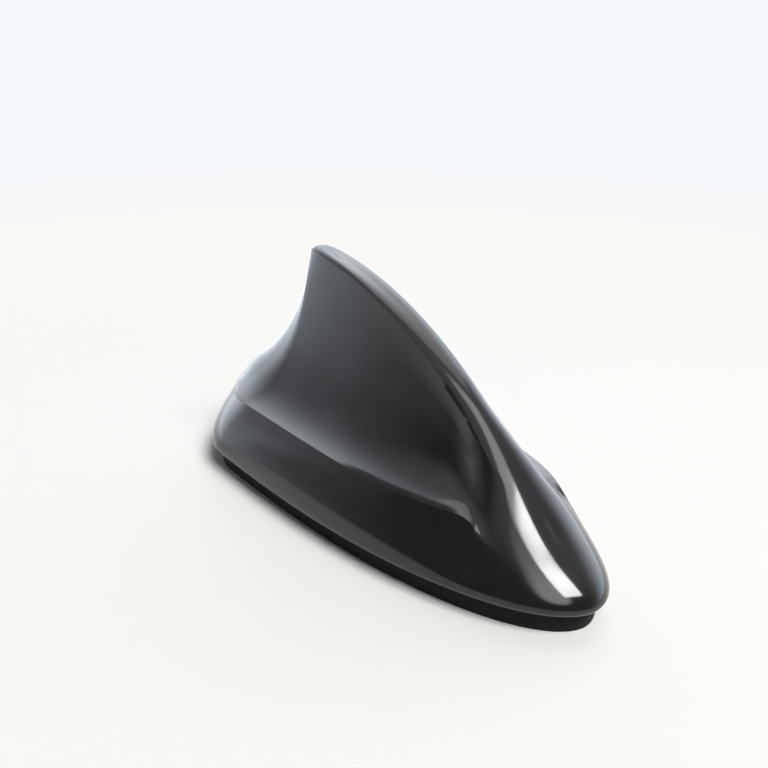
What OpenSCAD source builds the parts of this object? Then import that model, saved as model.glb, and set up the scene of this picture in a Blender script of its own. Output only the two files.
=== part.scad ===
// Roof fin antenna: a moulded fin housing over a die-cast base plate,
// with a satellite patch antenna and an upright radio blade inside.
// Frame: +X to the nose, +Y to the left side, +Z up.
// The origin is under the middle of the housing, on the face that the seal rests on.

/* [Housing] */
// Length of the housing, nose to tail
cover_len = 150; // [140:1:165]
// Width of the housing at its widest line
cover_w = 62; // [58:1:70]
// Height of the fin's tip
tip_h = 64; // [58:0.5:70]
// Distance of the fin's tip ahead of the tail
tip_ahead = 36; // [32:0.5:40]
// Wall of the moulded shell
wall = 2.4; // [1.8:0.1:2.6]
// Height of the shoulder crease
shoulder_h = 20.6; // [18.6:0.2:23]
// Step in of the shoulder crease from the widest line, at the sides
shoulder_in = 8; // [7:0.2:10]
// Width of the strip along the fin's top edge
ridge_w = 7.8; // [6.4:0.2:9]
// Length over which the flanks round off to the rear edge at the fin's tip
edge_r = 2.4; // [2:0.1:3]
// Height of the widest line over the lip
bulge_h = 2.2; // [1.8:0.1:3]
// Tuck of the lip under the widest line
lip_tuck = 1.5; // [1:0.1:2]
// Width of the lip's flat underside
lip_w = 2.5; // [2:0.1:3]

/* [Seal] */
// Height of the housing's lip over the roof
stand_h = 5; // [4.5:0.25:5.5]
// Step back of the roof seal behind the widest line
seal_step = 3; // [2.6:0.1:3.4]
// Thickness of the roof seal under the base plate, ribs included
seal_t = 2.4; // [2:0.1:2.8]
// Width of the roof seal's band
seal_w = 8; // [7:0.25:9]
// Height of the sealing ribs under the roof seal
rib_h = 0.6; // [0.4:0.1:0.8]

/* [Base plate] */
// Thickness of the plate's floor
plate_t = 2.6; // [2.2:0.1:3]
// Height of the rim that plugs into the housing, over the floor
rim_h = 4.4; // [4:0.1:5]
// Thickness of that rim
rim_t = 2.4; // [2.2:0.1:2.6]
// Gap between the rim and the housing
plug_gap = 0.25; // [0.15:0.05:0.4]
// Radius of the fixing thread's bore
fixing_r = 3.4; // [3:0.1:4]
// Depth of the fixing thread's bore
fixing_depth = 8.4; // [7:0.1:8.6]
// Distance of the fixing bore ahead of the middle
fixing_x = 8; // [4:1:12]
// Radius of the cable's way through its grommet
cable_r = 2.6; // [2:0.1:3]
// Distance of the cable outlet behind the middle
outlet_back = 24; // [22:1:27]

/* [Screws] */
// Diameter of the screws that hold the housing
screw_d = 3; // [2.6:0.1:3.2]
// Length of those screws under the head
screw_len = 8.8; // [8:0.2:9]
// Diameter of the screws that hold the main board
board_screw_d = 2.2; // [2:0.1:2.5]

/* [Boards] */
// Thickness of the main board
board_t = 1.6; // [1.2:0.1:2]
// Height of the main board over the base plate's floor
board_up = 5; // [4.8:0.1:5.4]
// Thickness of the upright blade
blade_t = 1; // [0.8:0.1:1.2]
// Side of the square ceramic patch
patch_side = 25; // [22:0.5:26]
// Thickness of the ceramic patch
patch_t = 4; // [3:0.25:4.5]

/* [Hidden] */

half_len = cover_len / 2;
half_w = cover_w / 2;

// Widest stations of the outline and of the shoulder, behind the middle
wide_back = 43.6;
shoulder_wide_back = 39.2;
// Roundness of an outline: its nose half lengthwise and crosswise, then its tail half
outline_round = [2.6, 1.9, 1.7, 1.65];
shoulder_round = [4.8, 1.14, 1.7, 1.7];
// Shoulder's setback from nose and tail, and its rise over half the length
shoulder_nose_in = 11;
shoulder_tail_in = 3;
shoulder_rise = 1.2;

// Top edge: length and slope of the curve's handles at the nose and at the tip
nose_pull = 15.2;
nose_slope = 28.6;
top_pull = 69.6;
top_slope = 4;
// Rear edge: handles at the tip and at its foot, and the foot's place
rear_pull = 11.5;
rear_slope = 79;
foot_pull = 14.8;
foot_slope = 34;
foot_ahead = 12;
foot_h = 28;
tip_round = 1.8;

// Depth of the strip's creases under the top edge, on the fin, what the nose end adds, and at the rear
strip_sink = 0.5;
strip_sink_nose = 5.4;
rear_sink = 3;
// Distance below the rear edge's foot at which the creases meet in the middle
tail_reach = 8;
// Part of the scoop's ledge that is left where it melts into the tail
tail_melt = 0.35;

// Each meridian runs from the lip up to the top edge, at an angle from the nose, 0, to the tail, 180
meridians = 60;
// Angles between which the tip is rounded, the scoops fade in and the rear edge closes
tip_phi = [100, 108];
scoop_phi = [36, 52];
close_phi = [150, 180];
// Angles over which the shoulder melts into one round tail, and the crease sinks to its rear depth
tail_phi = [136, 174];
sink_phi = [104, 140];
// Angles over which the flanks, then the strip, take up the rear's rounding
rear_phi = [90, 104];
edge_phi = [108, 118];
// Part of the top edge's curve that is the nose meridian itself, and how the rest is spread
nose_part = 0.3;
spread = 1.5;
// Places along a nose meridian where the shoulder and the strip begin
nose_v = [0.42, 0.8];
// Steps from lip to top edge: lip, skirt, scoop and strip, outside and inside
outer_rows = [2, 5, 8, 3];
inner_rows = [1, 3, 5, 2];

function mix(a, b, k) = a + (b - a) * k;
function smooth(ends, x) =
    let (t = min(1, max(0, (x - ends[0]) / (ends[1] - ends[0])))) t * t * (3 - 2 * t);
function unit(v) = v / max(norm(v), 1e-9);
function flat(v) = [v[0], v[1], 0];
function heading(a) = [cos(a), 0, sin(a)];
// Turns a heading towards the inside of the body
function inward(t) = [-t[2], 0, t[0]];
function across(v, n) = v - (v * n) * n;
function bez(p, t) = pow(1 - t, 3) * p[0] + 3 * pow(1 - t, 2) * t * p[1]
    + 3 * (1 - t) * t * t * p[2] + pow(t, 3) * p[3];
function slope(p, t) = 3 * pow(1 - t, 2) * (p[1] - p[0]) + 6 * (1 - t) * t * (p[2] - p[1])
    + 3 * t * t * (p[3] - p[2]);
// Cubic from a to b that leaves along ta and arrives along tb
function span(a, ta, tb, b) = [a, a + ta / 3, b - tb / 3, b];

// Point at an angle of an outline with one round half at the nose and one at the tail
function plan(phi, nose, wide, tail, half, round) =
    let (c = cos(phi), s = phi % 180 == 0 ? 0 : sin(phi))
    c >= 0
        ? [wide + (nose - wide) * pow(c, 2 / round[0]), half * pow(s, 2 / round[1])]
        : [wide - (wide - tail) * pow(-c, 2 / round[2]), half * pow(s, 2 / round[3])];
function outline(phi, inset) =
    plan(phi, half_len - inset, -wide_back, inset - half_len, half_w - inset, outline_round);

// Every surface line is found at a depth in the wall: 0 outside, 1 inside
lip_in = lip_tuck + lip_w;
inner_foot_h = 4.6;
function lip_at(phi, depth) =
    let (p = outline(phi, mix(lip_tuck, lip_in, depth))) [p[0], p[1], stand_h];
function widest_at(phi, depth) =
    let (p = outline(phi, lip_in * depth)) [p[0], p[1], stand_h + mix(bulge_h, inner_foot_h, depth)];
function shoulder_at(phi, depth) =
    let (w = wall * depth,
        p = plan(phi, half_len - shoulder_nose_in - w, -shoulder_wide_back,
            shoulder_tail_in + w - half_len, half_w - shoulder_in - w, shoulder_round))
    [p[0], p[1], shoulder_h + shoulder_rise * p[0] / half_len - 0.8 * w];

tip = [tip_ahead - half_len, 0, tip_h];
foot = [foot_ahead - half_len, 0, foot_h];
function tip_at(depth) = tip + 1.05 * wall * depth * [1, 0, -1];
function front_curve(depth) =
    let (rise = heading(180 - nose_slope))
    [widest_at(0, depth),
        widest_at(0, 0) + nose_pull * rise + 1.3 * wall * depth * inward(rise),
        tip + top_pull * heading(-top_slope) - [0, 0, wall * depth],
        tip_at(depth)];
function rear_curve(depth) =
    let (into = wall * depth * heading(foot_slope - 90))
    [tip_at(depth),
        tip - rear_pull * heading(rear_slope) + [wall * depth, 0, 0],
        foot + foot_pull * heading(foot_slope) + 1.1 * into,
        foot + 1.3 * into];

// Point and heading of the top edge: front run, rounded tip, rear run
function top_edge(phi, depth) =
    let (front = front_curve(depth), rear = rear_curve(depth), peak = tip_at(depth),
        front_end = 1 - tip_round / (3 * norm(front[3] - front[2])),
        rear_start = tip_round / (3 * norm(rear[1] - rear[0])))
    phi <= tip_phi[0]
        ? let (t = mix(nose_part, front_end, pow(phi / tip_phi[0], spread)))
            [bez(front, t), unit(slope(front, t))]
    : phi >= tip_phi[1]
        ? let (t = mix(rear_start, 1, (phi - tip_phi[1]) / (180 - tip_phi[1])))
            [bez(rear, t), unit(slope(rear, t))]
    : let (a = bez(front, front_end), b = bez(rear, rear_start),
            k = (phi - tip_phi[0]) / (tip_phi[1] - tip_phi[0]))
        [mix(mix(a, peak, k), mix(peak, b, k), k), unit(mix(peak - a, b - peak, k))];

// Flank's half width by height, from the widest scoop, the rear edge's place by height, and the wall
function rear_rule(depth) =
    let (steps = 24, flank = meridian(90, depth)[1], tail = meridian(180, depth), rear = rear_curve(depth))
    [[for (i = [0:steps]) let (p = bez(flank, i / steps)) [p[2], p[1]]],
        [for (part = [1, 2]) for (i = [0:steps - 1]) let (p = bez(tail[part], i / steps)) [p[2], p[0]],
            for (i = [steps:-1:0]) let (p = bez(rear, i / steps)) [p[2], p[0]]],
        wall * depth];
// Half width behind the flanks, which round off towards the rear edge as the shoulder does in plan
function rear_half(p, rule) =
    let (rise = min(1, max(0, (p[2] - shoulder_h) / (tip_h - shoulder_h))),
        start = mix(-shoulder_wide_back, tip[0] + edge_r + rule[2], rise),
        behind = min(1, max(0, (start - p[0]) / (start - lookup(p[2], rule[1])))),
        melt = mix(1, tail_melt, smooth([shoulder_wide_back, half_len - shoulder_tail_in], -p[0])))
    lookup(mix(shoulder_h - 0.8 * rule[2], p[2], melt), rule[0])
        * pow(1 - pow(behind, shoulder_round[2]), 1 / shoulder_round[3]);

// Crease where the strip begins, beside the top edge; at the tail it closes on the middle
function crease_at(phi, depth, rule) =
    let (e = top_edge(phi, depth),
        nose = pow(max(0, 1 - phi / tip_phi[0]), 2),
        sink = mix(strip_sink + strip_sink_nose * nose, rear_sink * (1 - 0.6 * depth), smooth(sink_phi, phi)),
        turn = 90 * (1 + smooth(close_phi, phi)),
        p = e[0] + inward(e[1]) * sink * sin(turn) - e[1] * tail_reach * (1 - 0.3 * depth) * cos(turn),
        half = ridge_w / 2 - 0.9 * wall * depth,
        ruled = is_undef(rule) ? half : mix(half, rear_half(p, rule), smooth(rear_phi, phi)))
    [p[0], phi >= 180 ? 0 : ruled, p[2]];

// Skirt, scoop and strip of one meridian; at the nose they run as one smooth line
function meridian(phi, depth, rule) =
    let (up = [0, 0, 1],
        foot_p = widest_at(phi, depth), edge = top_edge(phi, depth), top = edge[0], n = inward(edge[1]),
        front = front_curve(depth), nose_line = norm(bez(front, nose_part) - front[0]),
        scooped = smooth(scoop_phi, phi), round = smooth(tail_phi, phi),
        rise = up * norm(front[1] - front[0]) * 3 * nose_part * mix(1, 0.3, depth),
        fall = unit(across(top - foot_p, n)) * norm(slope(front, nose_part)) * nose_part
            * norm(top - foot_p) / nose_line,
        plain = span(foot_p, rise, fall, top),
        shoulder = mix(bez(plain, nose_v[0]), shoulder_at(phi, depth), scooped),
        crease = mix(bez(plain, nose_v[1]), crease_at(phi, depth, rule), scooped),
        at_shoulder = slope(plain, nose_v[0]), at_crease = slope(plain, nose_v[1]),
        v1 = nose_v[0], v2 = nose_v[1] - nose_v[0], v3 = 1 - nose_v[1],
        lift = shoulder - foot_p, lean = crease - shoulder, over = top - crease, in = flat(lean),
        // Tangents under and over the shoulder and the crease: sharp on the flanks, round at the tail
        below = mix(lift, norm(lift) * unit(crease - foot_p), round),
        ledge = mix(2 * norm(in) * unit(in + 0.12 * norm(in) * up),
            norm(lean) * unit(crease - foot_p), round),
        wall_up = mix(1.8 * abs(lean[2]) * unit([lean[0] / 10, lean[1] / 10, lean[2]]),
            norm(lean) * unit(top - shoulder), round),
        brow = norm(over) * unit(mix(over - 0.7 * norm(over) * n, top - shoulder, round)))
    [span(foot_p, mix(rise * v1, up * norm(lift), scooped),
            mix(at_shoulder * v1, below, scooped), shoulder),
        span(shoulder, mix(at_shoulder * v2, ledge, scooped),
            mix(at_crease * v2, wall_up, scooped), crease),
        span(crease, mix(at_crease * v3, brow, scooped),
            mix(fall * v3, norm(over) * unit(across(over, n)), scooped), top)];

function line_at(phi, depth, rows, rule) =
    let (m = meridian(phi, depth, rule), l = lip_at(phi, depth), w = widest_at(phi, depth), d = w - l,
        lines = [span(l, 1.6 * flat(d), 1.6 * (d - flat(d)), w), m[0], m[1], m[2]])
    [for (j = [0:3]) for (i = [0:rows[j] - 1])
            let (p = bez(lines[j], i / rows[j]), rear = smooth(j == 2 ? rear_phi : edge_phi, phi))
            j < 2 ? p : [p[0], mix(p[1], rear_half(p, rule), rear), p[2]],
        m[2][3]];

function total(rows) = rows[0] + rows[1] + rows[2] + rows[3];
// Angle of the j-th of n steps from nose to tail, closer together along the straighter sides
function angle(j, n) = j < n / 2 ? 90 * (1 - pow(1 - 2 * j / n, 1.3)) : 180 * j / n;
// Rings of points round the body, then the top edge once
function skin(depth, rows, n) =
    let (rule = rear_rule(depth), top = total(rows),
        lines = [for (j = [0:n]) line_at(angle(j, n), depth, rows, rule)])
    [for (r = [0:top - 1]) for (j = [0:2 * n - 1])
            let (p = lines[min(j, 2 * n - j)][r]) j <= n ? p : [p[0], -p[1], p[2]],
        for (j = [0:n]) [lines[j][top][0], 0, lines[j][top][2]]];
function index(r, j, top, n) = r * 2 * n + (r < top ? j % (2 * n) : min(j, 2 * n - j));
function turned(f, out) = out ? [f[0], f[2], f[1]] : f;
function skin_faces(rows, n, first, out) =
    let (top = total(rows))
    [for (r = [0:top - 1]) for (j = [0:2 * n - 1])
        let (a = first + index(r, j, top, n), b = first + index(r, j + 1, top, n),
            c = first + index(r + 1, j + 1, top, n), d = first + index(r + 1, j, top, n))
        for (f = floor(2 * j / n) % 2 == 0 ? [[a, b, d], [b, c, d]] : [[a, b, c], [a, c, d]])
            turned(f, out)];

// Clearance that lets a shank, peg or slot slide past its mate
slip = 0.1;

plate_z = seal_t;
floor_z = plate_z + plate_t;
rim_z = floor_z + rim_h;
plug_in = lip_in + plug_gap;

// Screws up through the base plate into the housing: one at the nose, the rest in pairs
screw_phi = [48, 82, 146];
screw_in = 8.6;
nose_screw_in = 14;
boss_r = 3;
post_r = screw_d / 2 + 2.7;
pilot_depth = screw_len - 3.6;
head_h = 2.2;
head_r = screw_d / 2 + 1.3;
bearing_z = rim_z - 3.8;
screw_places = [[half_len - nose_screw_in, 0], for (phi = screw_phi) for (side = [1, -1])
    let (p = outline(phi, screw_in)) [p[0], side * p[1]]];

// Pegs that hold the roof seal to the base plate
peg_phi = [24, 64, 114];
peg_in = 9.6;
peg_r = 1.5;
peg_places = [for (phi = peg_phi) for (side = [1, -1])
    let (p = outline(phi, peg_in)) [p[0], side * p[1]]];

// Groove in the rim for the housing's seal ring
groove_z = floor_z + 1.4;
groove_h = 1.6;
groove_t = 1.1;

// Cable outlet and its grommet
outlet = [-outlet_back, -9];
outlet_r = cable_r + 3.4;
collar_h = 1.5;
fixing_boss_r = fixing_r + 4.6;
fixing_z = 0.5;

// Main board on its stand-offs
board_z = floor_z + board_up;
board_top = board_z + board_t;
board_in = 7.2;
board_x = [-56, 53];
board_screws_at = [[43, 7], [43, -7], [-50, 13], [-50, -13]];
standoff_r = board_screw_d / 2 + 1.9;

// Satellite patch, ahead of the blade
patch_x = 23;
pad_t = 0.5;
patch_z = board_top + pad_t;
feed_at = [patch_x - 3, 2];

// Upright blade in the middle plane, under the fin
blade_x = [-44, patch_x - patch_side / 2 - 1];
blade_z = board_top + 1.4;
blade_gap = [2.5, 7];
holder_x = [-40, 6];
holder_h = 6.4;
cheek_t = 1.8;
track_t = 0.2;
// Places along the top edge of the housing's two guides for the blade and of the foam between them
guide_phi = [98, 85.6];
foam_phi = [89, 94];
guide_x = [for (phi = guide_phi) blade_edge(phi, 0)[0]];

// One outline of the base at a distance inside the widest line
function loop(inset, n) = [for (j = [0:2 * n - 1])
    let (p = outline(angle(min(j, 2 * n - j), n), inset)) j <= n ? p : [p[0], -p[1]]];
module slab(inset, z, h) {
    translate([0, 0, z]) linear_extrude(h) polygon(loop(inset, 30));
}
module band(inset, t, z, h) {
    difference() {
        slab(inset, z, h);
        slab(inset + t, z - 1, h + 2);
    }
}
module drill(places, r, z, h) {
    for (p = places) translate([p[0], p[1], z]) cylinder(r = r, h = h, $fn = 48);
}

// Closed solid under a surface at a depth in the wall, for what grows out of the wall's inside
module filled(depth, n) {
    skin_points = skin(depth, inner_rows, n);
    polyhedron(skin_points,
        concat(skin_faces(inner_rows, n, 0, true), [[for (j = [0:2 * n - 1]) j]]), convexity = 4);
}
module shell(n) {
    outside = skin(0, outer_rows, n);
    inside = skin(1, inner_rows, n);
    first = len(outside);
    lip = [for (j = [0:2 * n - 1]) let (k = (j + 1) % (2 * n))
        for (f = [[j, k, first + k], [j, first + k, first + j]]) f];
    polyhedron(
        concat(outside, inside),
        concat(skin_faces(outer_rows, n, 0, true), skin_faces(inner_rows, n, first, false), lip),
        convexity = 8);
}

module block(low, high) {
    translate(low) cube(high - low);
}

// Moulded cover: shell, screw bosses, guides for the blade and a rib under the nose
module housing() {
    guide_w = 1.6;
    guide_low = tip_h - 24;
    guide_slot = blade_t / 2 + 2.5 * slip;
    rib_x = 45;
    rib_low = board_top + 7;
    color([0.03, 0.03, 0.035]) difference() {
        union() {
            shell(meridians);
            intersection() {
                filled(0.5, 30);
                union() {
                    drill(screw_places, boss_r, rim_z, tip_h);
                    for (x = guide_x) difference() {
                        block([x - guide_w / 2, -half_w, guide_low], [x + guide_w / 2, half_w, tip_h]);
                        block([x - guide_w, -guide_slot, 0], [x + guide_w, guide_slot, 2 * tip_h]);
                    }
                    block([rib_x - guide_w / 2, -half_w, rib_low], [rib_x + guide_w / 2, half_w, tip_h]);
                }
            }
        }
        drill(screw_places, screw_d / 2, rim_z - 1, pilot_depth + 1);
    }
}

// Rubber seal between the base plate and the roof, with sealing ribs below and pegs above
module roof_seal() {
    rib_w = 0.9;
    color([0.07, 0.065, 0.06]) union() {
        band(seal_step, plug_in - seal_step, rib_h, stand_h - rib_h);
        band(seal_step, seal_w, rib_h, seal_t - rib_h);
        for (i = [0:2]) band(seal_step + i * (seal_w - rib_w) / 2, rib_w, 0, rib_h);
        drill(peg_places, peg_r, seal_t - 1, plate_t + 1.4);
        drill(peg_places, peg_r + 0.7, floor_z, 1.2);
    }
}

// Die-cast base: floor, grooved rim, posts, stand-offs, fixing boss, cable collar and ribs
module base_plate() {
    color([0.62, 0.63, 0.64]) difference() {
        union() {
            slab(plug_in, plate_z, plate_t);
            band(plug_in, rim_t, floor_z - 0.5, rim_h + 0.5);
            intersection() {
                slab(plug_in, plate_z, rim_z - plate_z);
                drill(screw_places, post_r, floor_z - 0.5, rim_h + 0.5);
            }
            drill(board_screws_at, standoff_r, floor_z - 0.5, board_up + 0.5);
            drill([[fixing_x, 0]], fixing_boss_r, fixing_z, fixing_depth + 1);
            drill([outlet], outlet_r + 2, floor_z - 0.5, collar_h + 0.5);
            base_ribs();
        }
        drill(screw_places, screw_d / 2 + 2 * slip, plate_z - 1, floor_z + rim_h);
        drill(screw_places, head_r + 2 * slip, plate_z - 1, bearing_z - plate_z + 1);
        drill(board_screws_at, board_screw_d / 2 + slip / 2, board_z - 5, 6);
        drill(peg_places, peg_r + slip, plate_z - 1, plate_t + 2);
        drill([[fixing_x, 0]], fixing_r, fixing_z - 1, fixing_depth + 1);
        drill([outlet], outlet_r, 0, floor_z + 4);
        drill([outlet], outlet_r + 2.4, floor_z + collar_h, 4);
        difference() {
            slab(plug_in - 1, groove_z, groove_h);
            slab(plug_in + groove_t, groove_z - 1, groove_h + 2);
        }
    }
}
module base_ribs() {
    rib_w = 1.6;
    rib_up = 3;
    intersection() {
        slab(plug_in + rim_t / 2, floor_z - 0.5, rib_up + 0.5);
        union() {
            for (y = [-12, 12]) block([-60, y - rib_w / 2, 0], [50, y + rib_w / 2, tip_h]);
            for (x = [-42, -6, 26]) block([x - rib_w / 2, -half_w, 0], [x + rib_w / 2, half_w, tip_h]);
        }
    }
}

// Rubber ring in the rim's groove, against the housing's inner wall
module housing_seal() {
    color([0.12, 0.12, 0.12])
        band(lip_in + slip, plug_gap + groove_t - 1.5 * slip, groove_z + slip, groove_h - 2 * slip);
}

module screw(d, len, head_d, head_t) {
    recess = head_d * 0.28;
    difference() {
        union() {
            cylinder(d = d, h = len, $fn = 32);
            rotate_extrude($fn = 48) polygon([[0, 0], [head_d / 2, 0], [head_d / 2, -0.6 * head_t],
                [0.4 * head_d, -0.9 * head_t], [0.3 * head_d, -head_t], [0, -head_t]]);
        }
        for (a = [0, 90]) rotate(a)
            translate([-recess, -recess / 4, -head_t - 1]) cube([2 * recess, recess / 2, 0.6 * head_t + 1]);
    }
}
module housing_screws() {
    color([0.72, 0.73, 0.74]) for (p = screw_places)
        translate([p[0], p[1], bearing_z]) screw(screw_d - slip, screw_len, 2 * head_r, head_h);
}

// Rubber grommet that grips the cable where it leaves through the base plate
module cable_grommet() {
    flange = outlet_r + 1.6;
    waist = outlet_r - slip;
    top = floor_z + collar_h;
    color([0.08, 0.08, 0.08]) translate(outlet) rotate_extrude($fn = 64) polygon([
        [cable_r, plate_z - 1.5], [flange - 0.4, plate_z - 1.5], [flange, plate_z - 1.1], [flange, plate_z],
        [waist, plate_z], [waist, top], [flange - 0.6, top], [flange - 0.9, top + 1.1],
        [cable_r + 1.8, top + 1.4], [cable_r + 1.3, top + 2.6], [cable_r, top + 2.6]]);
}

module main_board() {
    color([0.05, 0.25, 0.12]) difference() {
        intersection() {
            slab(board_in, board_z, board_t);
            block([board_x[0], -half_w, 0], [board_x[1], half_w, tip_h]);
        }
        drill(screw_places, boss_r + 1, board_z - 1, board_t + 2);
        drill(board_screws_at, board_screw_d / 2 + 2 * slip, board_z - 1, board_t + 2);
        drill([outlet], cable_r + 2, board_z - 1, board_t + 2);
        drill([feed_at], 0.6, board_z - 1, board_t + 2);
    }
}

module board_screws() {
    color([0.75, 0.75, 0.75]) for (p = board_screws_at)
        translate([p[0], p[1], board_top]) mirror([0, 0, 1])
            screw(board_screw_d - slip, board_t + 4.4, 2 * board_screw_d, 0.6 * board_screw_d);
}

// Square plate around the patch's middle
module patch_layer(side, z, t) {
    translate([patch_x - side / 2, -side / 2, z]) cube([side, side, t]);
}
module patch_pad() {
    color([0.9, 0.88, 0.8]) difference() {
        patch_layer(patch_side - 1, board_top, pad_t);
        drill([feed_at], 1.5, board_top - 1, pad_t + 2);
    }
}
module ceramic_patch() {
    color([0.78, 0.72, 0.62]) difference() {
        patch_layer(patch_side, patch_z, patch_t);
        drill([feed_at], 0.6, patch_z - 1, patch_t + 2);
    }
}
// Silvered square on the ceramic, two corners trimmed to turn the field
module patch_electrode() {
    half = patch_side / 2 - 2.5;
    trim = 2.2;
    color([0.82, 0.82, 0.8]) difference() {
        translate([patch_x, 0, patch_z + patch_t]) linear_extrude(0.12) polygon([
            [-half, -half], [half - trim, -half], [half, trim - half],
            [half, half], [trim - half, half], [-half, half - trim]]);
        drill([feed_at], 0.6, patch_z, patch_t + 2);
    }
}
module feed_pin() {
    top = patch_z + patch_t + 0.12;
    color([0.85, 0.84, 0.8]) translate(feed_at) rotate_extrude($fn = 32) polygon([
        [0, board_z - 1], [0.45, board_z - 1], [0.45, top], [1.3, top], [1.1, top + 0.35], [0, top + 0.5]]);
}

// Low-noise amplifier and its filters under a pressed tin can, left of the blade
can_at = [-34, 5];
can_size = [20, 12, 3.4];
module shield_can() {
    sheet = 0.3;
    color([0.8, 0.81, 0.82]) difference() {
        translate([can_at[0], can_at[1], board_top]) cube(can_size);
        translate([can_at[0] + sheet, can_at[1] + sheet, board_top - 1])
            cube([can_size[0] - 2 * sheet, can_size[1] - 2 * sheet, can_size[2] - sheet + 1]);
        for (i = [1:4]) for (j = [1:2]) translate([can_at[0] + i * can_size[0] / 5,
            can_at[1] + j * can_size[1] / 3, board_top]) cylinder(r = 0.7, h = can_size[2] + 1, $fn = 24);
    }
}
module chip(at, size) {
    translate([at[0], at[1], board_top]) cube(size);
}
module amplifier_chip() {
    color([0.1, 0.1, 0.1]) chip(can_at + [8, 4], [4, 4, 0.9]);
}
module filter_chips() {
    color([0.75, 0.7, 0.6]) for (x = [2, 15]) chip(can_at + [x, 4.5], [3, 3, 1.2]);
}
module chip_capacitors() {
    color([0.6, 0.5, 0.4]) {
        for (i = [0:4]) chip(can_at + [2 + 3.4 * i, 9.4], [1.6, 0.8, 0.8]);
        for (i = [0:3]) chip([-51 + 3 * i, -6], [1.6, 0.8, 0.8]);
        for (i = [0:2]) chip([39, 11 - 3.2 * i - 8], [0.8, 1.6, 0.8]);
    }
}

// Push-on socket that the cable's inner conductor is wired to
socket_at = [-39, -13];
module coax_socket() {
    color([0.83, 0.7, 0.35]) difference() {
        union() {
            translate([socket_at[0] - 2.6, socket_at[1] - 2.6, board_top]) cube([5.2, 5.2, 0.8]);
            translate([socket_at[0], socket_at[1], board_top]) cylinder(r = 2, h = 3, $fn = 48);
        }
        translate([socket_at[0], socket_at[1], board_top + 0.8]) cylinder(r = 1.5, h = 3, $fn = 48);
    }
}
module socket_pin() {
    color([0.85, 0.75, 0.4])
        translate([socket_at[0], socket_at[1], board_top + 0.8]) cylinder(r = 0.35, h = 1.8, $fn = 24);
}

// Place on the upright blade's edge, a gap inside the fin that widens towards the narrow rear
function blade_edge(phi, rise) =
    let (e = top_edge(phi, 1), gap = mix(blade_gap[0], blade_gap[1], smooth([92, 116], phi)) - rise,
        p = e[0] + gap * inward(e[1])) [p[0], p[2]];
// Its top and rear runs, which leave out the fin's rounded tip between them
blade_line = [for (run = [[60:4:96], [116:4:148]]) for (phi = run) blade_edge(phi, 0)];
function blade_top(x) = lookup(x, blade_line);
module upright(y, t) {
    translate([0, y + t, 0]) rotate([90, 0, 0]) linear_extrude(t) children();
}
module blade_board() {
    rear = blade_x[0];
    front = blade_x[1];
    color([0.1, 0.3, 0.15]) upright(-blade_t / 2, blade_t) polygon(concat(
        [[front, blade_z], [front, blade_top(front)]],
        [for (p = blade_line) if (p[0] > rear + 1 && p[0] < front - 1) p],
        [[rear, blade_top(rear)], [rear, blade_z]]));
}

// Copper meander on the blade's right face, with a pad where the contact spring bears
pad_x = -3;
track_z = blade_z + 9;
track_w = 1.4;
module blade_track() {
    runs = 8;
    pitch = 5.6;
    start = blade_x[0] + 6;
    color([0.8, 0.5, 0.3]) upright(-blade_t / 2 - track_t, track_t) union() {
        for (i = [0:2:runs - 2]) {
            a = start + i * pitch;
            top = min(blade_top(a), blade_top(a + pitch)) - 4.6;
            for (x = [a, a + pitch]) translate([x, track_z]) square([track_w, top - track_z]);
            translate([a, top - track_w]) square([pitch + track_w, track_w]);
            if (i > 0) translate([a - pitch, track_z]) square([pitch + track_w, track_w]);
        }
        last = start + (runs - 1) * pitch;
        translate([last, track_z]) square([pad_x + 2 - last, track_w]);
        translate([pad_x - 2, blade_z + 5.4]) square([4, track_z + track_w - blade_z - 5.4]);
    }
}

// Moulded saddle that stands the blade on the main board
module blade_holder() {
    slot = blade_t / 2 + slip;
    out = slot + cheek_t;
    top = board_top + holder_h;
    foot_l = 5;
    color([0.85, 0.84, 0.8]) difference() {
        union() {
            translate([holder_x[0], 0, 0]) rotate([90, 0, 90])
                linear_extrude(holder_x[1] - holder_x[0]) polygon([
                    [-out, board_top], [out, board_top], [out, top - 0.8], [out - 0.6, top],
                    [slot + 0.6, top], [slot, top - 0.8], [slot, blade_z], [-slot, blade_z],
                    [-slot, top - 0.8], [-slot - 0.6, top], [0.6 - out, top], [-out, top - 0.8]]);
            for (x = [holder_x[0], holder_x[1] - foot_l])
                block([x, -out - 2, board_top], [x + foot_l, out + 2, board_top + 1.2]);
        }
        block([holder_x[0] + 12, -half_w, blade_z + 1.2], [holder_x[1] - 12, half_w, tip_h]);
    }
}

// Bent strip from the main board up to the pad on the blade
function side_step(p, i, t) =
    let (a = p[max(i - 1, 0)], b = p[min(i + 1, len(p) - 1)], d = b - a) p[i] + t * [-d[1], d[0]] / norm(d);
module contact_spring() {
    face = -blade_t / 2 - track_t;
    out = -blade_t / 2 - slip - cheek_t - 0.5;
    line = [[out - 4, board_top], [out - 0.9, board_top], [out - 0.2, board_top + 0.7],
        [out, board_top + 5.4], [face - 0.25, board_top + 7.4], [face - 0.9, board_top + 8.8]];
    sheet = 0.25;
    back = [for (i = [len(line) - 1:-1:0]) i == 0 ? line[0] + [0, sheet] : side_step(line, i, sheet)];
    color([0.85, 0.75, 0.45]) translate([pad_x - 1.5, 0, 0]) rotate([90, 0, 90])
        linear_extrude(3) polygon(concat(line, back));
}

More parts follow.
